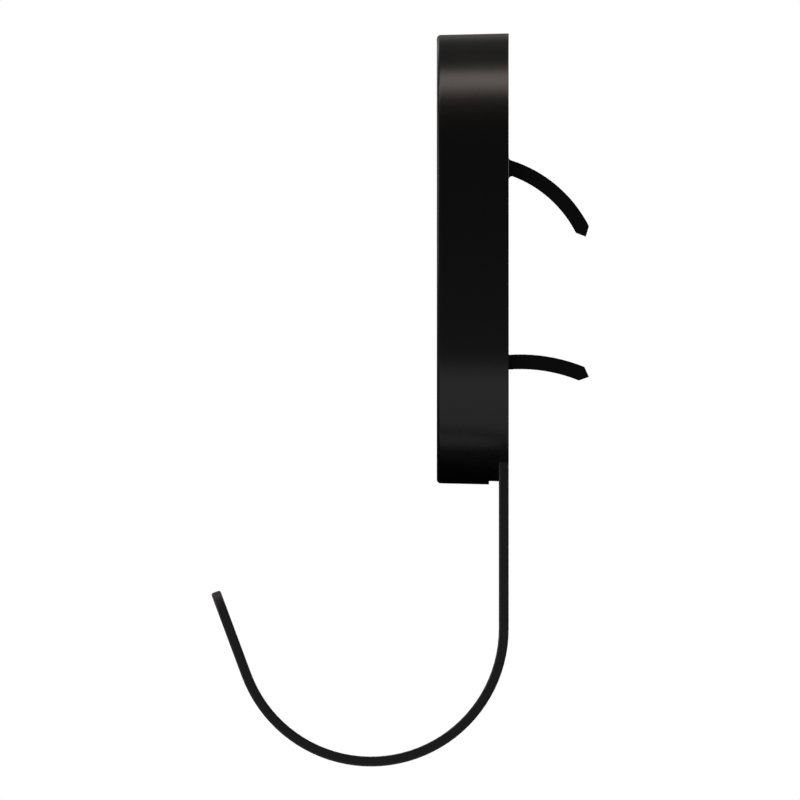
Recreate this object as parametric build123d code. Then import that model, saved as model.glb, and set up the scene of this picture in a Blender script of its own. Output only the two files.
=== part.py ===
"""Wall-mounted hair dryer holder: a forked J strip, a clawed steel wall plate and a round moulded cover.

Millimetres. The origin is the centre of the cover's back, on the wall plane. -Y is the front, +Y goes into
the wall, +Z is up and X is the width.
"""

import os
from math import acos, cos, degrees, radians, sin, sqrt, tan

from build123d import *

os.makedirs("parts", exist_ok=True)

# Driving sizes
cover_diameter = 112.9  # over the rear rim
cover_depth = 18.0
cover_draft_deg = 1.3
cover_wall = 2.2
cover_edge_radius = 1.0

strip_width = 48.9
strip_thickness = 2.5
strip_edge_radius = 0.6
bend_outer_radius = 34.45
leg_tilt_deg = 20.4  # front leg, away from the wall
leg_length = 22.2
handle_slot_width = 35.0

plate_thickness = 1.6
claw_depth = 3.7  # height of the claw blade

screw_diameter = 3.0
screw_length = 9.0
rivet_diameter = 5.0

# Named clearances
slot_side_gap = 0.4  # strip edge to the side of the rim slot
slot_face_gap = 0.0  # strip face to the rim slot's floor, which bears on it
flange_side_gap = 4.95  # strip edge to the inner face of each flange
screw_hole_gap = 0.2  # screw to the plate's clearance hole
formed_thread_gap = 0.05  # screw to the boss bore
boss_floor_gap = 1.0  # screw end to the bore's floor
head_wall_gap = 0.3  # screw head to the wall plane
boss_inset = 9.4  # from the rear rim's outside in to each screw's axis
rivet_inset = 10.45  # from the strip's edge in to each rivet's axis
screw_inset = 2.0  # from the flange's outer face in to each screw's axis
flange_end_gap = 6.0  # from the flange's end up to each screw's axis

# Construction
cut_past = 1.0  # how far a cutting shape runs past the face it opens
foot_sink = 0.1  # how far a rib or boss is sunk into the cover's ceiling
near = 0.01

# Cover
rear_radius = cover_diameter / 2
front_radius = rear_radius - cover_depth * tan(radians(cover_draft_deg))
cover_ceiling = -(cover_depth - cover_wall)

# Strip
strip_top = 34.0  # its hidden top edge, inside the cover
strip_top_radius = 2.5  # at that edge's two corners
strip_below_cover = 35.95  # straight part between the rim and the bend
slot_above_bend = 18.35  # from the start of the bend up to the handle slot's closed end
bend_drop = rear_radius + strip_below_cover
bend_y = -bend_outer_radius
bend_z = -bend_drop
bend_inner_radius = bend_outer_radius - strip_thickness
handle_slot_top = bend_z + slot_above_bend
prong_width = (strip_width - handle_slot_width) / 2
prong_inner_radius = 0.8  # at each prong's tip, seen square on
prong_tip_flat = 0.5
prong_outer_radius = prong_width - prong_tip_flat - prong_inner_radius

# Claw plate
plate_back = -strip_thickness
plate_front = plate_back - plate_thickness
flange_reach = strip_width / 2 + flange_side_gap + plate_thickness  # to the flange's outer face
screw_x = flange_reach - screw_inset
screw_z = sqrt((rear_radius - boss_inset) ** 2 - screw_x**2)
ear_edge = 4.5  # from a screw's axis to the edges of its ear
ear_reach = screw_x + ear_edge
plate_height = 2 * (screw_z + ear_edge)
flange_height = 2 * (screw_z - flange_end_gap)
screw_spots = [(i * screw_x, k * screw_z) for i in (-1, 1) for k in (-1, 1)]

rivet_x = strip_width / 2 - rivet_inset
rivet_z = 23.0
rivet_spots = [(i * rivet_x, k * rivet_z) for i in (-1, 1) for k in (-1, 1)]


def write(shape, node):
    export_step(shape, f"parts/{node}.step")


def along_y(x, z, y_start, y_end, radius, end_radius=None):
    """A round bar or cone parallel to Y, from y_start back to y_end."""
    length = abs(y_end - y_start)
    end_radius = radius if end_radius is None else end_radius
    base = Plane(origin=(x, y_start, z), x_dir=(1, 0, 0), z_dir=(0, 1 if y_end > y_start else -1, 0))
    bar = Cone(radius, end_radius, length) if end_radius != radius else Cylinder(radius, length)
    return base * Pos(0, 0, length / 2) * bar


def block(x, y, z):
    """A box given by its low and high limits on each axis."""
    size = (x[1] - x[0], y[1] - y[0], z[1] - z[0])
    return Pos((x[0] + x[1]) / 2, (y[0] + y[1]) / 2, (z[0] + z[1]) / 2) * Box(*size)


def outline_yz(edges, x_start, thickness):
    """Closed edges drawn in the YZ plane, thickened along +X from x_start."""
    face = make_face(Curve() + edges)
    return Pos(x_start, 0, 0) * extrude(face, amount=thickness, dir=(1, 0, 0))


# Round cover: one moulding with its screw bosses, ribs and rim cut-outs
def cover_shell():
    wall_slope = tan(radians(cover_draft_deg))
    inner_front = front_radius - cover_wall + cover_wall * wall_slope
    profile = Polyline(
        (0, -cover_depth),
        (front_radius, -cover_depth),
        (rear_radius, 0),
        (rear_radius - cover_wall, 0),
        (inner_front, cover_ceiling),
        (0, cover_ceiling),
        close=True,
    )
    shell = revolve(make_face(profile), Axis.Y, 360)
    front_rim = shell.edges().filter_by(GeomType.CIRCLE).group_by(Axis.Y)[0]
    shell = fillet(front_rim, cover_edge_radius)
    inner_corner = shell.edges().filter_by(GeomType.CIRCLE).filter_by(
        lambda e: abs(e.center().Y - cover_ceiling) < near and abs(e.radius - inner_front) < near
    )
    return fillet(inner_corner, cover_edge_radius)


boss_radius = 3.6
boss_foot_radius = 4.6
boss_foot_height = 2.0
rib_thickness = 1.5
ring_rib_radius = 24.0
ring_rib_height = 3.0
spoke_rib_height = 2.4
spoke_count = 8
boss_web_depth = 6.5
notch_width = 19.4
notch_depth = 2.44  # forward of the strip's front face


def cover_ribs():
    """A ring and spokes under the face, and a web from each boss to the side wall."""
    rib_foot = cover_ceiling - foot_sink
    ring_top = cover_ceiling + ring_rib_height
    ring = along_y(0, 0, rib_foot, ring_top, ring_rib_radius + rib_thickness / 2)
    ring -= along_y(0, 0, rib_foot - cut_past, ring_top + cut_past, ring_rib_radius - rib_thickness / 2)
    ribs = [ring]
    side_reach = front_radius - cover_wall / 2
    for i in range(spoke_count):
        spoke = block(
            (ring_rib_radius, side_reach),
            (rib_foot, cover_ceiling + spoke_rib_height),
            (-rib_thickness / 2, rib_thickness / 2),
        )
        ribs.append(Rot(0, i * 360 / spoke_count, 0) * spoke)
    for x, z in screw_spots:
        boss_from_axis = sqrt(x * x + z * z)
        web = block(
            (boss_from_axis, side_reach),
            (rib_foot, cover_ceiling + boss_web_depth),
            (-rib_thickness / 2, rib_thickness / 2),
        )
        turn = -Vector(1, 0, 0).get_signed_angle(Vector(x, 0, z), Vector(0, -1, 0))
        ribs.append(Rot(0, turn, 0) * web)
    return ribs


def cover_bosses():
    """A post for each screw, widening into a cone at its foot."""
    bosses = []
    foot = cover_ceiling - foot_sink
    foot_top = cover_ceiling + boss_foot_height
    for x, z in screw_spots:
        bosses.append(along_y(x, z, plate_front, foot, boss_radius))
        bosses.append(along_y(x, z, foot_top, foot, boss_radius, boss_foot_radius))
    return bosses


def cover():
    body = cover_shell()
    for piece in cover_ribs() + cover_bosses():
        body += piece
    bore_floor = plate_back - screw_length - boss_floor_gap
    for x, z in screw_spots:
        body -= along_y(x, z, plate_front + cut_past, bore_floor, screw_diameter / 2 + formed_thread_gap)
    slot_half = strip_width / 2 + slot_side_gap
    rim = (-rear_radius - cut_past, -rear_radius / 2)
    body -= block((-slot_half, slot_half), (-strip_thickness - slot_face_gap, cut_past), rim)
    body -= block((-notch_width / 2, notch_width / 2), (-strip_thickness - notch_depth, cut_past), rim)
    return body


# J strip: flat bar, blanked with its handle slot and then bent
def j_profile():
    """The strip seen from the side."""
    tilt = radians(leg_tilt_deg)
    along = Vector(0, -sin(tilt), cos(tilt))
    outward = Vector(0, -cos(tilt), -sin(tilt))
    centre = Vector(0, bend_y, bend_z)
    outer_end = centre + outward * bend_outer_radius
    inner_end = centre + outward * bend_inner_radius
    half_way = radians(-(180 - leg_tilt_deg) / 2)
    middle = Vector(0, cos(half_way), sin(half_way))
    top_back = Vector(0, 0, strip_top)
    top_front = Vector(0, -strip_thickness, strip_top)
    back_end = Vector(0, 0, bend_z)
    front_end = Vector(0, -strip_thickness, bend_z)
    return [
        Line(top_back, back_end),
        ThreePointArc(back_end, centre + middle * bend_outer_radius, outer_end),
        Line(outer_end, outer_end + along * leg_length),
        Line(outer_end + along * leg_length, inner_end + along * leg_length),
        Line(inner_end + along * leg_length, inner_end),
        ThreePointArc(inner_end, centre + middle * bend_inner_radius, front_end),
        Line(front_end, top_front),
        Line(top_front, top_back),
    ]


def handle_slot():
    """The open slot between the two prongs, with a full round at its closed upper end."""
    half = handle_slot_width / 2
    round_z = handle_slot_top - half
    lowest = bend_z - bend_outer_radius - cut_past
    y_front = bend_y - bend_outer_radius - leg_length
    y_inside = -strip_thickness - cut_past
    slot = block((-half, half), (y_front, cut_past), (lowest, round_z))
    slot += along_y(0, round_z, cut_past, y_inside, half)
    return slot + block((-half, half), (y_front, y_inside), (lowest, strip_top))


rivet_sink_radius = 4.0
rivet_sink_depth = 1.4


def blank_outline(strip):
    """The long edges between the bar's rolled faces and its cut edges."""
    leg_normal = Vector(0, cos(radians(leg_tilt_deg)), sin(radians(leg_tilt_deg)))
    curved = strip.faces().filter_by(GeomType.CYLINDER)
    rolled = [f for f in curved if abs(f.axis_of_rotation.direction.X) > 0.99]
    for face in strip.faces().filter_by(GeomType.PLANE):
        normal = face.normal_at()
        if max(abs(normal.Y), abs(normal.dot(leg_normal))) > 0.999:
            rolled.append(face)
    edges = [e for face in rolled for e in face.outer_wire().edges()]
    return [e for e in edges if edges.count(e) == 1]


def hook():
    strip = outline_yz(j_profile(), -strip_width / 2, strip_width)
    strip -= handle_slot()
    for x, z in rivet_spots:
        strip -= along_y(x, z, cut_past, -strip_thickness - cut_past, rivet_diameter / 2)
        strip -= along_y(x, z, 0, -rivet_sink_depth, rivet_sink_radius, rivet_diameter / 2)
    leg_way = Vector(0, -sin(radians(leg_tilt_deg)), cos(radians(leg_tilt_deg)))
    ends = [f for f in strip.faces().filter_by(GeomType.PLANE) if (f.normal_at() - leg_way).length < near]
    corners = [e for end in ends for e in end.edges() if abs(e.tangent_at(0.5).X) < near]
    outer = [e for e in corners if abs(e.center().X) > strip_width / 2 - near]
    inner = [e for e in corners if abs(e.center().X) < handle_slot_width / 2 + near]
    strip = fillet(outer, prong_outer_radius)
    inner = [min(strip.edges(), key=lambda e: (e.center() - old.center()).length) for old in inner]
    strip = fillet(inner, prong_inner_radius)
    strip = fillet(strip.faces().sort_by(Axis.Z)[-1].edges().filter_by(Axis.Y), strip_top_radius)
    return fillet(blank_outline(strip), strip_edge_radius)


# Claw plate: one hardened stamping with two folded flanges, each cut with an upper and a lower claw
claw_tip_bevel = 2.0  # along the blade, from the shoulders to the point
claw_corner_radius = 0.5
claw_overlap = 1.0  # how far the blade runs into the flange
claw_root_radius = 0.8
bend_radius = 0.8
ear_corner_radius = 4.0
relief_gap = 1.4
upper_claw_centre = (-9.3, -6.7)  # centre of the blade's curve as (y, z)
upper_claw_radius = 31.1
upper_claw_tip_deg = 23.3  # above the horizontal, seen from that centre
lower_claw_centre = (2.9, -66.4)
lower_claw_radius = 40.75
lower_claw_tip_deg = 65.1


def claw_blade(centre, radius, tip_deg):
    """A curved blade of even height in the YZ plane, ending in two bevels that meet in a point."""
    y_c, z_c = centre

    def at(r, deg):
        return Vector(0, y_c + r * cos(radians(deg)), z_c + r * sin(radians(deg)))

    outer = radius + claw_depth / 2
    inner = radius - claw_depth / 2
    shoulder = tip_deg + degrees(claw_tip_bevel / radius)
    root = degrees(acos((-claw_overlap - y_c) / radius))
    middle = (shoulder + root) / 2
    edges = [
        ThreePointArc(at(outer, root), at(outer, middle), at(outer, shoulder)),
        Line(at(outer, shoulder), at(radius, tip_deg)),
        Line(at(radius, tip_deg), at(inner, shoulder)),
        ThreePointArc(at(inner, shoulder), at(inner, middle), at(inner, root)),
        Line(at(inner, root), at(outer, root)),
    ]
    blade = outline_yz(edges, flange_reach - plate_thickness, plate_thickness)
    mid_x = Vector(flange_reach - plate_thickness / 2, 0, 0)
    shoulders = [
        e
        for e in blade.edges().filter_by(Axis.X)
        if min((e.center() - mid_x - at(r, shoulder)).length for r in (outer, inner)) < near
    ]
    return fillet(shoulders, claw_corner_radius)


def flange():
    """The right-hand flange with its bend and both claws."""
    half = flange_height / 2
    outside = bend_radius + plate_thickness
    inner_x = flange_reach - plate_thickness
    bend_x = flange_reach - outside
    bend_y_centre = plate_front + outside
    bend = along_z(bend_x, bend_y_centre, half, outside)
    bend -= along_z(bend_x, bend_y_centre, half + cut_past, bend_radius)
    bend &= block((bend_x, flange_reach), (plate_front, bend_y_centre), (-half, half))
    side = block((inner_x, flange_reach), (bend_y_centre, 0), (-half, half))
    folded = side + claw_blade(upper_claw_centre, upper_claw_radius, upper_claw_tip_deg)
    upper_roots = folded.edges().filter_by(Axis.X).filter_by(
        lambda e: abs(e.center().Y) < near and 0 < e.center().Z < half - near
    )
    folded = fillet(upper_roots, claw_root_radius)
    return folded + bend + claw_blade(lower_claw_centre, lower_claw_radius, lower_claw_tip_deg)


def along_z(x, y, half_height, radius):
    """An upright bar centred on z = 0."""
    return Pos(x, y, 0) * Cylinder(radius, 2 * half_height)


def claw_plate():
    half = plate_height / 2
    flat = block((-ear_reach, ear_reach), (plate_front, plate_back), (-half, half))
    flat = fillet(flat.edges().filter_by(Axis.Y), ear_corner_radius)
    bend_start = flange_reach - bend_radius - plate_thickness
    cleared = flange_height / 2 + relief_gap
    for i in (-1, 1):
        x_limits = sorted((i * bend_start, i * (ear_reach + cut_past)))
        flat -= block(x_limits, (plate_front - cut_past, plate_back + cut_past), (-cleared, cleared))
    right = flange()
    flat += right
    flat += mirror(right, Plane.YZ)
    y_front, y_back = plate_front - cut_past, plate_back + cut_past
    for x, z in screw_spots:
        flat -= along_y(x, z, y_front, y_back, screw_diameter / 2 + screw_hole_gap)
    for x, z in rivet_spots:
        flat -= along_y(x, z, y_front, y_back, rivet_diameter / 2)
    return flat


# Rivets: countersunk on the wall side, domed over the plate
rivet_head_radius = 4.4
rivet_head_height = 1.8


def rivet(x, z):
    """A turned shape: flat countersunk end, shank and low dome."""
    shank_radius = rivet_diameter / 2
    dome_top = plate_front - rivet_head_height
    dome_radius = (rivet_head_radius**2 + rivet_head_height**2) / (2 * rivet_head_height)
    half_way = rivet_head_radius / 2
    dome_mid = dome_top + dome_radius - sqrt(dome_radius**2 - half_way**2)
    profile = [
        Line((0, 0), (rivet_sink_radius, 0)),
        Line((rivet_sink_radius, 0), (shank_radius, -rivet_sink_depth)),
        Line((shank_radius, -rivet_sink_depth), (shank_radius, plate_front)),
        Line((shank_radius, plate_front), (rivet_head_radius, plate_front)),
        ThreePointArc((rivet_head_radius, plate_front), (half_way, dome_mid), (0, dome_top)),
        Line((0, dome_top), (0, 0)),
    ]
    return Pos(x, 0, z) * revolve(make_face(Curve() + profile), Axis.Y, 360)


# Cover screws: pan heads with a cross recess, driven from the wall side
screw_head_radius = 2.8
screw_head_edge_radius = 0.7
recess_width = 0.9
recess_span = 3.2
recess_depth = 1.2


def screw(x, z):
    head_back = -head_wall_gap
    head = along_y(x, z, plate_back, head_back, screw_head_radius)
    head = fillet(head.edges().group_by(Axis.Y)[-1], screw_head_edge_radius)
    recess_y = (head_back - recess_depth, cut_past)
    for across, up in ((recess_span, recess_width), (recess_width, recess_span)):
        head -= block((x - across / 2, x + across / 2), recess_y, (z - up / 2, z + up / 2))
    tip_start = plate_back - screw_length + screw_diameter / 2
    shank = along_y(x, z, plate_back, tip_start, screw_diameter / 2)
    tip = along_y(x, z, tip_start, plate_back - screw_length, screw_diameter / 2, screw_diameter / 6)
    return head + shank + tip


write(cover(), "cover")
write(hook(), "hook")
write(claw_plate(), "claw_plate")
for number, (x, z) in enumerate(rivet_spots, 1):
    write(rivet(x, z), f"rivet_{number}")
for number, (x, z) in enumerate(screw_spots, 1):
    write(screw(x, z), f"cover_screw_{number}")
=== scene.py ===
"""Hair dryer holder: the looks of a clawed wall hook with a J strip and a round cover, in metres."""

from math import asin, atan, atan2, cos, degrees, hypot, pi, radians, sin, tan

import bmesh
import bpy
from mathutils import Matrix, Vector


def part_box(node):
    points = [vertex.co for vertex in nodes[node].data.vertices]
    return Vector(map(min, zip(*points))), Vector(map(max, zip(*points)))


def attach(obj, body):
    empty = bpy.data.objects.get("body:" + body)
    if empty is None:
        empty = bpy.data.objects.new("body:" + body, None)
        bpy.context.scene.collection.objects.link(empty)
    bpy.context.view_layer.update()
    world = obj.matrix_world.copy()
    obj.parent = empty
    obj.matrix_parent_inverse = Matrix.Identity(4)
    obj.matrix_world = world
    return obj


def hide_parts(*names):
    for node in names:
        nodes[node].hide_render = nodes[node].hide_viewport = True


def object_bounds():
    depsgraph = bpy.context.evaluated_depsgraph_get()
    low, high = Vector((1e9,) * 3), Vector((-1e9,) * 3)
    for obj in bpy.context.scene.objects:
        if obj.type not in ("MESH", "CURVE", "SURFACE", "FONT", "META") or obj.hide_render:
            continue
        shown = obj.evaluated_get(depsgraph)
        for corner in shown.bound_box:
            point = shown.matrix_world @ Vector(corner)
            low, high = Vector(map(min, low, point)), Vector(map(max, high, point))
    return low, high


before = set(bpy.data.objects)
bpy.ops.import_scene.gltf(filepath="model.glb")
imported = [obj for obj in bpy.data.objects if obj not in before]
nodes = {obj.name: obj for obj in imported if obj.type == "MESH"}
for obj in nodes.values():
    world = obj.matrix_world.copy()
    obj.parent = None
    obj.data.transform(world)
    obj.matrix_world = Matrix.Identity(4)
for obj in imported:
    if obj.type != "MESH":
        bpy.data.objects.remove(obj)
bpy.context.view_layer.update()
MM = 0.001


# ---- Strip hook ------------------------------------------------------------------------------
# One flat bar of mild steel: blanked with its handle slot, bent into a J on a round former, and
# powder coated matte black all over, sheared edges included.


def add(tree, kind, values=(), links=(), **settings):
    """Adds one node: settings are its properties, values its sockets' numbers and links its wires."""
    node = tree.nodes.new(kind)
    for name, value in settings.items():
        setattr(node, name, value)
    for socket, value in dict(values).items():
        node.inputs[socket].default_value = value
    for socket, source in dict(links).items():
        tree.links.new(source, node.inputs[socket])
    return node


def linear(code):
    """An sRGB hex colour as linear RGBA."""
    parts = [int(code[i : i + 2], 16) / 255 for i in (1, 3, 5)]
    return [c / 12.92 if c <= 0.04045 else ((c + 0.055) / 1.055) ** 2.4 for c in parts] + [1.0]


def finish_material(name, **shader_values):
    """An empty material with one Principled shader, its tree and its object coordinates."""
    material = bpy.data.materials.new(name)
    material.use_nodes = True
    tree = material.node_tree
    tree.nodes.clear()
    shader = add(tree, "ShaderNodeBsdfPrincipled", shader_values)
    add(tree, "ShaderNodeOutputMaterial", links={"Surface": shader.outputs["BSDF"]})
    place = add(tree, "ShaderNodeTexCoord").outputs["Object"]
    return material, tree, shader, place


def surface(tree, shader, tint, colours, gloss, roughness, relief, strength, depth):
    """Wires the shader's colour, roughness and bump, each to the pattern that varies it."""
    dark, light = [linear(code) for code in colours]
    colour = add(tree, "ShaderNodeMix", {"A": dark, "B": light}, {"Factor": tint}, data_type="RGBA")
    sheen = add(
        tree,
        "ShaderNodeMapRange",
        {"From Min": 0.3, "From Max": 0.7, "To Min": roughness[0], "To Max": roughness[1]},
        {"Value": gloss},
    )
    bump = add(tree, "ShaderNodeBump", {"Strength": strength, "Distance": depth}, {"Height": relief})
    tree.links.new(colour.outputs["Result"], shader.inputs["Base Color"])
    tree.links.new(sheen.outputs["Result"], shader.inputs["Roughness"])
    tree.links.new(bump.outputs["Normal"], shader.inputs["Normal"])


def powder_coat():
    """Matte black polyester powder coat: soft, with a fine orange peel that breaks up its glints."""
    coat, tree, shader, place = finish_material("powder_coat_matte_black", IOR=1.6)
    peel_size = 1.1 * MM
    grain_size = 0.3 * MM  # the powder's own grain is near 0.05 mm: drawn coarser, so that it shows
    grain_share = 0.35  # of the peel's height
    peel = add(tree, "ShaderNodeTexNoise", {"Scale": 1 / peel_size, "Detail": 2.0}, {"Vector": place})
    grain = add(tree, "ShaderNodeTexNoise", {"Scale": 1 / grain_size, "Detail": 3.0}, {"Vector": place})
    relief = add(
        tree,
        "ShaderNodeMath",
        {1: grain_share},
        {0: grain.outputs["Fac"], 2: peel.outputs["Fac"]},
        operation="MULTIPLY_ADD",
    )
    surface(
        tree,
        shader,
        tint=grain.outputs["Fac"],
        colours=("#39393a", "#464647"),
        gloss=peel.outputs["Fac"],
        roughness=(0.44, 0.56),
        relief=relief.outputs["Value"],
        strength=0.5,
        depth=0.03 * MM,
    )
    return coat


def finish_node(node, material):
    """Gives a CAD node's slots the finished material."""
    for material_slot in nodes[node].material_slots:
        material_slot.material = material


finish_node("hook", powder_coat())


# ---- Claw plate ------------------------------------------------------------------------------
# A stamping of hardened spring steel. Its side flanges are folded back, and each is cut with two
# curved claws. Black oxide, rubbed a little brighter along the rolling direction.


def black_oxide():
    """Black oxide on cold-rolled spring steel: near black, faintly streaked, patchy in its sheen."""
    oxide, tree, shader, place = finish_material("black_oxide_spring_steel", Metallic=1.0)
    streak_size = 0.4 * MM  # rolling marks are near 0.05 mm wide: drawn coarser, so that they show
    streak_stretch = (1.0, 1.0, 0.08)  # drawn out along Z, the rolling direction
    patch_size = 5.0 * MM
    rolled = add(tree, "ShaderNodeMapping", {"Scale": streak_stretch}, {"Vector": place})
    streaks = add(
        tree,
        "ShaderNodeTexNoise",
        {"Scale": 1 / streak_size, "Detail": 3.0},
        {"Vector": rolled.outputs["Vector"]},
    )
    patches = add(tree, "ShaderNodeTexNoise", {"Scale": 1 / patch_size, "Detail": 4.0}, {"Vector": place})
    surface(
        tree,
        shader,
        tint=patches.outputs["Fac"],
        colours=("#2e2e30", "#434347"),
        gloss=patches.outputs["Fac"],
        roughness=(0.3, 0.46),
        relief=streaks.outputs["Fac"],
        strength=0.3,
        depth=0.006 * MM,
    )
    return oxide


finish_node("claw_plate", black_oxide())


# ---- Rivets ----------------------------------------------------------------------------------
# Four zinc-plated steel rivets. They are countersunk flush in the strip's wall side and headed
# over into low domes on the claw plate.


def zinc_plate():
    """Dull bright zinc: soft metal shine with a faintly mottled passivated film."""
    zinc, tree, shader, place = finish_material("dull_zinc_plate", Metallic=1.0)
    film_size = 1.6 * MM
    pit_size = 0.25 * MM  # plating pits are near 0.03 mm: drawn coarser, so that they show
    film = add(tree, "ShaderNodeTexNoise", {"Scale": 1 / film_size, "Detail": 3.0}, {"Vector": place})
    pits = add(tree, "ShaderNodeTexNoise", {"Scale": 1 / pit_size, "Detail": 2.0}, {"Vector": place})
    surface(
        tree,
        shader,
        tint=film.outputs["Fac"],
        colours=("#8b8d90", "#b1b1ad"),
        gloss=film.outputs["Fac"],
        roughness=(0.28, 0.45),
        relief=pits.outputs["Fac"],
        strength=0.3,
        depth=0.01 * MM,
    )
    return zinc


zinc = zinc_plate()


def arc_points(centre, radius, start, end, steps):
    """Points (radius, y) on an arc, angles in degrees."""
    angles = [radians(start + (end - start) * i / steps) for i in range(steps + 1)]
    return [(centre[0] + radius * cos(a), centre[1] + radius * sin(a)) for a in angles]


def turned(name, profile, segments=48):
    """A body of revolution about Y, from (radius, y) points that run from axis to axis."""
    mesh = bpy.data.meshes.new(name)
    shape = bmesh.new()
    rings = []
    for radius, y in profile:
        if radius == 0:
            rings.append([shape.verts.new((0, y, 0))])
            continue
        turns = [2 * pi * i / segments for i in range(segments)]
        rings.append([shape.verts.new((radius * cos(t), y, radius * sin(t))) for t in turns])
    for ring, following in zip(rings, rings[1:]):
        for i in range(segments):
            j = (i + 1) % segments
            corners = [ring[i % len(ring)], ring[j % len(ring)], following[j % len(following)]]
            corners.append(following[i % len(following)])
            shape.faces.new(list(dict.fromkeys(corners)))
    bmesh.ops.recalc_face_normals(shape, faces=shape.faces)
    shape.to_mesh(mesh)
    shape.free()
    piece = bpy.data.objects.new(name, mesh)
    bpy.context.scene.collection.objects.link(piece)
    return piece


def new_tree(name, sizes):
    """A Geometry Nodes tree with named size inputs, a material input and its group nodes."""
    tree = bpy.data.node_groups.new(name, "GeometryNodeTree")
    tree.interface.new_socket("Geometry", in_out="INPUT", socket_type="NodeSocketGeometry")
    for size in sizes:
        tree.interface.new_socket(size, in_out="INPUT", socket_type="NodeSocketFloat")
    tree.interface.new_socket("Finish", in_out="INPUT", socket_type="NodeSocketMaterial")
    tree.interface.new_socket("Geometry", in_out="OUTPUT", socket_type="NodeSocketGeometry")
    return tree, add(tree, "NodeGroupInput").outputs


def four_corners(tree, given, one):
    """Instances of the geometry on the four corners of an upright Across by Up rectangle."""
    grid = add(
        tree,
        "GeometryNodeMeshGrid",
        {"Vertices X": 2, "Vertices Y": 2},
        {"Size X": given["Across"], "Size Y": given["Up"]},
    )
    upright = add(
        tree,
        "GeometryNodeTransform",
        {"Rotation": (pi / 2, 0, 0)},
        {"Geometry": grid.outputs["Mesh"]},
    )
    copies = add(
        tree,
        "GeometryNodeInstanceOnPoints",
        links={"Points": upright.outputs["Geometry"], "Instance": one},
    )
    return copies.outputs["Instances"]


def made_real(tree, geometry):
    """The geometry with its instances turned to mesh."""
    real = add(tree, "GeometryNodeRealizeInstances", links={"Geometry": geometry})
    return real.outputs["Geometry"]


def end_tree(tree, given, geometry):
    """Makes the geometry real, gives it its finish and ends the tree."""
    finished = add(
        tree,
        "GeometryNodeSetMaterial",
        links={"Geometry": made_real(tree, geometry), "Material": given["Finish"]},
    )
    add(tree, "NodeGroupOutput", links={"Geometry": finished.outputs["Geometry"]})


def made_plain(piece, tree, inputs, sharp_angle=35):
    """Runs the tree on the piece and keeps the result as its plain mesh, smooth up to the sharp angle."""
    modifier = piece.modifiers.new(tree.name, "NODES")
    modifier.node_group = tree
    for socket in tree.interface.items_tree:
        if socket.in_out == "INPUT" and socket.name in inputs:
            modifier[socket.identifier] = inputs[socket.name]
    evaluated = piece.evaluated_get(bpy.context.evaluated_depsgraph_get())
    mesh = bpy.data.meshes.new_from_object(evaluated)
    piece.modifiers.remove(modifier)
    piece.data = mesh
    mesh.shade_smooth()
    mesh.set_sharp_from_angle(angle=radians(sharp_angle))
    return piece


def middle(node):
    """The middle of a CAD node's box."""
    low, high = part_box(node)
    return (low + high) / 2


rivet_low, rivet_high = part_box("rivet_1")
rivet_head = (rivet_high.x - rivet_low.x) / 2
rivet_shank = 2.5 * MM
sink_radius = 4.0 * MM
sink_depth = 1.4 * MM
sink_bevel = 0.12 * MM
dome_lip = 0.1 * MM
plate_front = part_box("claw_plate")[0].y
dome_height = plate_front - rivet_low.y
dome_radius = (rivet_head**2 + dome_height**2) / (2 * dome_height)
dome_centre = (0, rivet_low.y + dome_radius)
dome_edge = 270 + degrees(asin(rivet_head / dome_radius))
rivet_profile = [
    (0, 0),
    (sink_radius - sink_bevel, 0),
    (sink_radius, -sink_bevel),
    (rivet_shank, -sink_depth),
    (rivet_shank, plate_front),
    (rivet_head - dome_lip, plate_front),
    *arc_points(dome_centre, dome_radius, dome_edge, 270, 10)[:-1],
    (0, rivet_low.y),
]
rivet_tree, given = new_tree("riveting", ["Across", "Up"])
end_tree(rivet_tree, given, four_corners(rivet_tree, given, given["Geometry"]))
rivets = made_plain(
    turned("rivets", rivet_profile),
    rivet_tree,
    {
        "Across": middle("rivet_3").x - middle("rivet_1").x,
        "Up": middle("rivet_2").z - middle("rivet_1").z,
        "Finish": zinc,
    },
)
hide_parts("rivet_1", "rivet_2", "rivet_3", "rivet_4")
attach(rivets, "root")


# ---- Cover -----------------------------------------------------------------------------------
# A shallow round cap moulded in black ABS, ribbed and bossed inside for its four screws. The tool
# was fine blasted, which leaves a satin skin; ejector pins left eight round marks inside.


def satin_abs():
    """Satin black ABS: a soft wide gloss from the blasted tool, very slightly warm."""
    abs_plastic, tree, shader, place = finish_material("satin_black_abs", IOR=1.54)
    grain_size = 0.45 * MM  # blasting leaves pits near 0.1 mm: drawn coarser, so that they show
    flow_size = 22 * MM
    grain = add(tree, "ShaderNodeTexNoise", {"Scale": 1 / grain_size, "Detail": 2.0}, {"Vector": place})
    flow = add(tree, "ShaderNodeTexNoise", {"Scale": 1 / flow_size, "Detail": 2.0}, {"Vector": place})
    surface(
        tree,
        shader,
        tint=grain.outputs["Fac"],
        colours=("#0b0a09", "#100e0d"),
        gloss=flow.outputs["Fac"],
        roughness=(0.23, 0.26),
        relief=grain.outputs["Fac"],
        strength=0.2,
        depth=0.006 * MM,
    )
    return abs_plastic


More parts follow.
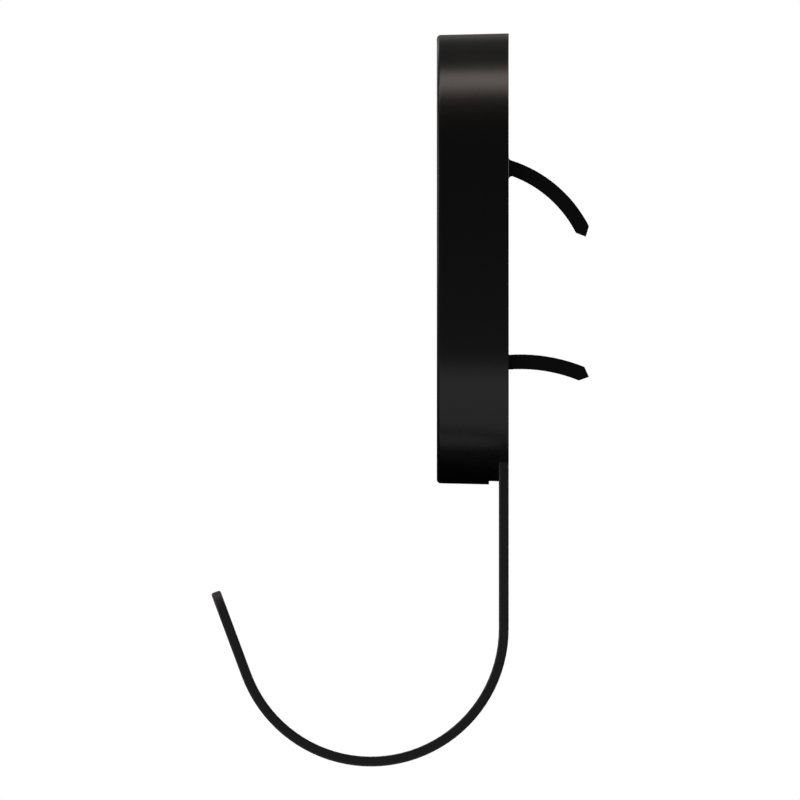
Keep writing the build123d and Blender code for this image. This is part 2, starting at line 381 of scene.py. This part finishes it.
rear_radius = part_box("cover")[1].x
cover_depth = -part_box("cover")[0].y
draft = tan(radians(1.3))
wall = 2.2 * MM
edge_radius = 1.0 * MM
rim_round = 0.2 * MM  # on edges that close against the tool's parting face
hold = 0.3 * MM  # keeps a flat's shading flat up to its rounded edge
ceiling = wall - cover_depth
rib_half = 0.75 * MM
ring_rib = 24 * MM
ring_top = ceiling + 3.0 * MM
spoke_top = ceiling + 2.4 * MM
boss_web_top = ceiling + 6.5 * MM
boss_web_start = 2.5 * MM  # from the boss's middle
boss_radius = 3.6 * MM
boss_foot_radius = 4.6 * MM
boss_foot_top = ceiling + 2.0 * MM
bore_radius = 1.55 * MM
bore_floor = -12.5 * MM
pin_radius = 2.5 * MM
pin_circle = 42 * MM
pin_mark_depth = 0.12 * MM
slot_clearance = 0.4 * MM
slot_floor = -2.5 * MM
notch_half = 9.7 * MM
notch_floor = -4.94 * MM


def wall_radius(y, inset=0.0):
    """The drafted side's radius at y, or that of the surface an inset within it."""
    return rear_radius - inset + y * draft


front_y = edge_radius - cover_depth
inner_y = ceiling + edge_radius
lean = -degrees(atan(draft))
rim_outside = (rear_radius - rim_round, -rim_round)
rim_inside = (rear_radius - wall + rim_round, -rim_round)
face_end = wall_radius(front_y, edge_radius)
floor_end = wall_radius(inner_y, wall + edge_radius)
cover_profile = [
    (0, -cover_depth),
    (face_end - hold, -cover_depth),
    *arc_points((face_end, front_y), edge_radius, -90, lean, 12),
    (wall_radius(front_y + hold), front_y + hold),
    (wall_radius(-rim_round - hold), -rim_round - hold),
    *arc_points(rim_outside, rim_round, lean, 90, 4),
    *arc_points(rim_inside, rim_round, 90, 180, 4),
    (wall_radius(-rim_round - hold, wall), -rim_round - hold),
    (wall_radius(inner_y + hold, wall), inner_y + hold),
    *arc_points((floor_end, inner_y), edge_radius, lean, -90, 6),
    (floor_end - hold, ceiling),
    (ring_rib + rib_half, ceiling),
    (ring_rib + rib_half, ring_top - rim_round),
    (ring_rib + rib_half - rim_round, ring_top),
    (ring_rib - rib_half + rim_round, ring_top),
    (ring_rib - rib_half, ring_top - rim_round),
    (ring_rib - rib_half, ceiling),
    (0, ceiling),
]
cover_tree, given = new_tree(
    "moulding",
    ["Across", "Up", "Boss radius", "Bore radius", "Pin radius"],
)


def brick(x, y, z):
    """A cutting or joining block between its limits on each axis."""
    spans = [high - low for low, high in (x, y, z)]
    centre = [(high + low) / 2 for low, high in (x, y, z)]
    raw = add(cover_tree, "GeometryNodeMeshCube", {"Size": spans})
    placed = add(
        cover_tree,
        "GeometryNodeTransform",
        {"Translation": centre},
        {"Geometry": raw.outputs["Mesh"]},
    )
    return placed.outputs["Geometry"]


def around(one, start, step, count):
    """Instances of the geometry about Y, from the start angle on, a step further each."""
    spots = add(cover_tree, "GeometryNodeMeshLine", {"Count": count, "Offset": (0, 0, 0)})
    index = add(cover_tree, "GeometryNodeInputIndex")
    angle = add(
        cover_tree,
        "ShaderNodeMath",
        {1: radians(step), 2: radians(start)},
        {0: index.outputs["Index"]},
        operation="MULTIPLY_ADD",
    )
    turn = add(cover_tree, "ShaderNodeCombineXYZ", links={"Y": angle.outputs["Value"]})
    copies = add(
        cover_tree,
        "GeometryNodeInstanceOnPoints",
        links={"Points": spots.outputs["Mesh"], "Instance": one, "Rotation": turn.outputs["Vector"]},
    )
    return copies.outputs["Instances"]


def post(back, front, radius, front_radius=None, x=0.0):
    """A round post or cone along Y, each radius a number or one of the tree's inputs."""
    cone = add(cover_tree, "GeometryNodeMeshCone", {"Vertices": 48, "Depth": back - front})
    for socket, size in (("Radius Bottom", radius), ("Radius Top", front_radius or radius)):
        if isinstance(size, float):
            cone.inputs[socket].default_value = size
        else:
            cover_tree.links.new(size, cone.inputs[socket])
    placed = add(
        cover_tree,
        "GeometryNodeTransform",
        {"Rotation": (pi / 2, 0, 0), "Translation": (x, back, 0)},
        {"Geometry": cone.outputs["Mesh"]},
    )
    return placed.outputs["Geometry"]


def combine(operation, base, others):
    """An exact Boolean of the base with the others, each made real first."""
    step = add(cover_tree, "GeometryNodeMeshBoolean", operation=operation, solver="EXACT")
    step.inputs["Self Intersection"].default_value = True
    if operation == "DIFFERENCE":
        cover_tree.links.new(base, step.inputs["Mesh 1"])
    else:
        others = [base, *others]
    for other in others:
        cover_tree.links.new(made_real(cover_tree, other), step.inputs["Mesh 2"])
    return step.outputs["Mesh"]


sink = 0.1 * MM  # of ribs and posts into the cap, so that they join it
past = 1.0 * MM  # of cutters beyond what they cut
screw_across = middle("cover_screw_3").x - middle("cover_screw_1").x
screw_up = middle("cover_screw_2").z - middle("cover_screw_1").z
screw_angle = degrees(atan2(screw_up, screw_across))
screw_from_axis = hypot(screw_across, screw_up) / 2
rib_foot = ceiling - sink
rib_end = wall_radius(ceiling, wall / 2)
web_from = screw_from_axis + boss_web_start
spoke = brick((ring_rib, rib_end), (rib_foot, spoke_top), (-rib_half, rib_half))
web = brick((web_from, rib_end), (rib_foot, boss_web_top), (-rib_half, rib_half))
boss_post = post(plate_front, rib_foot, given["Boss radius"])
boss_foot = post(boss_foot_top, rib_foot, given["Boss radius"], boss_foot_radius)
added = [around(spoke, 0, 45, 8), around(web, screw_angle, 180, 2), around(web, -screw_angle, 180, 2)]
added += [four_corners(cover_tree, given, one) for one in (boss_post, boss_foot)]
bore = post(plate_front + past, bore_floor, given["Bore radius"])
pin = post(ceiling + past, ceiling - pin_mark_depth, given["Pin radius"], x=pin_circle)
slot_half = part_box("hook")[1].x + slot_clearance
rim = (-rear_radius - past, -rear_radius / 2)
strip_slot = brick((-slot_half, slot_half), (slot_floor, past), rim)
notch = brick((-notch_half, notch_half), (notch_floor, past), rim)
cuts = [four_corners(cover_tree, given, bore), around(pin, 22.5, 45, 8), strip_slot, notch]
joined = combine("UNION", given["Geometry"], added)
end_tree(cover_tree, given, combine("DIFFERENCE", joined, cuts))
cover = made_plain(
    turned("cover_moulding", cover_profile, segments=288),
    cover_tree,
    {
        "Across": screw_across,
        "Up": screw_up,
        "Boss radius": boss_radius,
        "Bore radius": bore_radius,
        "Pin radius": pin_radius,
        "Finish": satin_abs(),
    },
    sharp_angle=32,
)
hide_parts("cover")
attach(cover, "root")


# ---- Cover screws ----------------------------------------------------------------------------
# Four zinc-plated thread-forming screws with pan heads and cross recesses, driven from the wall
# side through the claw plate's ears into the cover's bosses.

screw_low, screw_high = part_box("cover_screw_1")
head_radius = (screw_high.x - screw_low.x) / 2
head_top = screw_high.y
plate_thickness = 1.6 * MM
head_under = plate_front + plate_thickness
crown = 0.7 * MM
core_radius = 1.2 * MM
taper_length = 1.5 * MM
tip_radius = 0.4 * MM
tip_length = 0.1 * MM
ridge_radius = 0.28 * MM  # the thread stands out by this from the core
thread_pitch = 1.06 * MM
thread_start = head_under - 0.8 * MM
thread_end = screw_low.y + taper_length
recess_depth = 1.3 * MM
recess_top_radius = 2.2 * MM
recess_bottom_radius = 0.9 * MM
recess_flatness = 0.27  # each wing's thickness as a share of its span
recess_above = 0.02 * MM  # of the cutter past the head's face
screw_profile = [
    (0, head_top),
    *arc_points((head_radius - crown, head_top - crown), crown, 90, 0, 6),
    (head_radius, head_under),
    (core_radius, head_under),
    (core_radius, thread_end),
    (tip_radius, screw_low.y + tip_length),
    (0, screw_low.y),
]
screw_tree, given = new_tree("screwing", ["Across", "Up", "Core", "Thread length", "Turns", "Recess"])
wings = []
for turn in (0, pi / 2):
    pyramid = add(
        screw_tree,
        "GeometryNodeMeshCone",
        {"Vertices": 4, "Radius Top": recess_bottom_radius, "Radius Bottom": recess_top_radius},
        {"Depth": given["Recess"]},
    )
    squared = add(
        screw_tree,
        "GeometryNodeTransform",
        {"Rotation": (0, 0, pi / 4)},
        {"Geometry": pyramid.outputs["Mesh"]},
    )
    blade = add(
        screw_tree,
        "GeometryNodeTransform",
        {
            "Rotation": (pi / 2, turn, 0),
            "Scale": (1, recess_flatness, 1),
            "Translation": (0, head_top + recess_above, 0),
        },
        {"Geometry": squared.outputs["Geometry"]},
    )
    wings.append(blade.outputs["Geometry"])
cross = add(screw_tree, "GeometryNodeMeshBoolean", operation="UNION", solver="EXACT")
for wing in wings:
    screw_tree.links.new(wing, cross.inputs["Mesh 2"])
cut = add(
    screw_tree,
    "GeometryNodeMeshBoolean",
    links={"Mesh 1": given["Geometry"], "Mesh 2": cross.outputs["Mesh"]},
    operation="DIFFERENCE",
    solver="EXACT",
)
helix = add(
    screw_tree,
    "GeometryNodeCurveSpiral",
    {"Resolution": 24},
    {
        "Rotations": given["Turns"],
        "Start Radius": given["Core"],
        "End Radius": given["Core"],
        "Height": given["Thread length"],
    },
)
ridge = add(
    screw_tree,
    "GeometryNodeCurvePrimitiveCircle",
    {"Resolution": 3, "Radius": ridge_radius},
)
thread = add(
    screw_tree,
    "GeometryNodeCurveToMesh",
    {"Fill Caps": True},
    {"Curve": helix.outputs["Curve"], "Profile Curve": ridge.outputs["Curve"]},
)
thread_place = add(
    screw_tree,
    "GeometryNodeTransform",
    {"Rotation": (pi / 2, 0, 0), "Translation": (0, thread_start, 0)},
    {"Geometry": thread.outputs["Mesh"]},
)
whole = add(screw_tree, "GeometryNodeJoinGeometry")
for part in (thread_place.outputs["Geometry"], cut.outputs["Mesh"]):
    screw_tree.links.new(part, whole.inputs["Geometry"])
end_tree(screw_tree, given, four_corners(screw_tree, given, whole.outputs["Geometry"]))
thread_length = thread_start - thread_end
screws = made_plain(
    turned("cover_screws", screw_profile),
    screw_tree,
    {
        "Across": screw_across,
        "Up": screw_up,
        "Core": core_radius,
        "Thread length": thread_length,
        "Turns": thread_length / thread_pitch,
        "Recess": recess_depth,
        "Finish": zinc,
    },
)
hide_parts("cover_screw_1", "cover_screw_2", "cover_screw_3", "cover_screw_4")
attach(screws, "root")


# ---- Stage -----------------------------------------------------------------------------------
# A pale floor under the holder, a white surround, and soft lights: a long panel overhead, a weak
# one below and another on the far side, and large soft boxes in front, on the left and behind.

subject = Vector((0, middle("cover").y, 0))


def pale_floor():
    """Matte pale paint that glows a little, so that it stays pale under weak lights."""
    material, _, shader, _ = finish_material("pale_painted_floor", Roughness=0.9, IOR=1.4)
    shader.inputs["Base Color"].default_value = linear("#e6e6e6")
    shader.inputs["Emission Color"].default_value = linear("#ffffff")
    shader.inputs["Emission Strength"].default_value = 0.72
    return material


floor_drop = 28 * MM
floor_half = 4.0
floor_mesh = bpy.data.meshes.new("floor")
floor_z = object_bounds()[0].z - floor_drop
corners = [(x * floor_half, y * floor_half, floor_z) for x, y in ((-1, -1), (1, -1), (1, 1), (-1, 1))]
floor_mesh.from_pydata(corners, [], [(0, 1, 2, 3)])
floor_mesh.materials.append(pale_floor())
floor = bpy.data.objects.new("floor", floor_mesh)
bpy.context.scene.collection.objects.link(floor)
floor.visible_glossy = False
floor.visible_diffuse = False
floor.visible_shadow = False


def panel(name, direction, distance, size, radiance, colour=(1, 1, 1)):
    """A soft rectangular light: size is its long side, along Y, and its short side."""
    light = bpy.data.lights.new(name, "AREA")
    light.shape = "RECTANGLE"
    light.size, light.size_y = size
    light.energy = radiance * pi * size[0] * size[1]
    light.color = colour
    holder = bpy.data.objects.new(name, light)
    bpy.context.scene.collection.objects.link(holder)
    way = Vector(direction).normalized()
    long_side = Vector((0, 1, 0)) if abs(way.y) < 0.9 else Vector((1, 0, 0))
    short_side = way.cross(long_side).normalized()
    long_side = short_side.cross(way).normalized()
    holder.matrix_world = Matrix.Translation(subject + way * distance) @ Matrix(
        (long_side, short_side, way)
    ).transposed().to_4x4()
    holder.visible_camera = False
    return holder


def round_y(elevation):
    """A direction in the plane across the holder: 0 towards +X, 90 straight up."""
    return (cos(radians(elevation)), 0, sin(radians(elevation)))


warm = (1.0, 0.86, 0.81)
panel("overhead_panel", round_y(103), 1.6, (1.8, 0.42), 1.85, warm)
panel("low_panel", round_y(-83.5), 1.6, (1.8, 1.62), 0.3)
panel("front_box", (0.05, -1, 0.3), 1.8, (1.5, 1.5), 0.75)
panel("far_panel", round_y(168), 1.6, (1.8, 0.8), 0.12, warm)
panel("back_box", (-0.9, 1, 0.5), 1.8, (1.5, 1.3), 2.2)
panel("left_box", (-1.3, -1, 0.4), 1.8, (1.5, 1.3), 0.4)

world = bpy.data.worlds.new("white_surround")
bpy.context.scene.world = world
world.use_nodes = True
tree = world.node_tree
tree.nodes.clear()
# Seen straight it is white. As a light it is dim, stronger from low in front, and it fades out
# towards low on the far side.
dim_white = 0.095
way = add(tree, "ShaderNodeTexCoord").outputs["Generated"]
lit_side = add(
    tree,
    "ShaderNodeVectorMath",
    {1: (sin(pi / 4), 0, cos(pi / 4))},
    {0: way},
    operation="DOT_PRODUCT",
)
reach = add(
    tree,
    "ShaderNodeMapRange",
    {"From Min": -0.8, "From Max": -0.45, "To Min": 0.0, "To Max": dim_white},
    {"Value": lit_side.outputs["Value"]},
)
fall = add(
    tree,
    "ShaderNodeVectorMath",
    {1: (0, -0.5, -0.35)},
    {0: way},
    operation="DOT_PRODUCT",
)
ambient = add(
    tree,
    "ShaderNodeMath",
    {},
    {0: reach.outputs["Result"], 1: fall.outputs["Value"], 2: reach.outputs["Result"]},
    operation="MULTIPLY_ADD",
)
seen = add(tree, "ShaderNodeLightPath").outputs["Is Camera Ray"]
strength = add(
    tree,
    "ShaderNodeMix",
    {"B": 1.0},
    {"Factor": seen, "A": ambient.outputs["Value"]},
)
light = add(tree, "ShaderNodeBackground", {"Color": (1, 1, 1, 1)}, {"Strength": strength.outputs["Result"]})
add(tree, "ShaderNodeOutputWorld", links={"Surface": light.outputs["Background"]})

# Straight from the right-hand side, level with the holder and without perspective.
view_width = 200 * MM
view_centre = (-27.19 * MM, -35.21 * MM)
camera_distance = 1.0
camera_data = bpy.data.cameras.new("side_camera")
camera_data.type = "ORTHO"
camera_data.ortho_scale = view_width
camera = bpy.data.objects.new("side_camera", camera_data)
bpy.context.scene.collection.objects.link(camera)
camera.location = (camera_distance, *view_centre)
camera.rotation_euler = (pi / 2, 0, pi / 2)
bpy.context.scene.camera = camera
bpy.context.scene.view_settings.view_transform = "Standard"
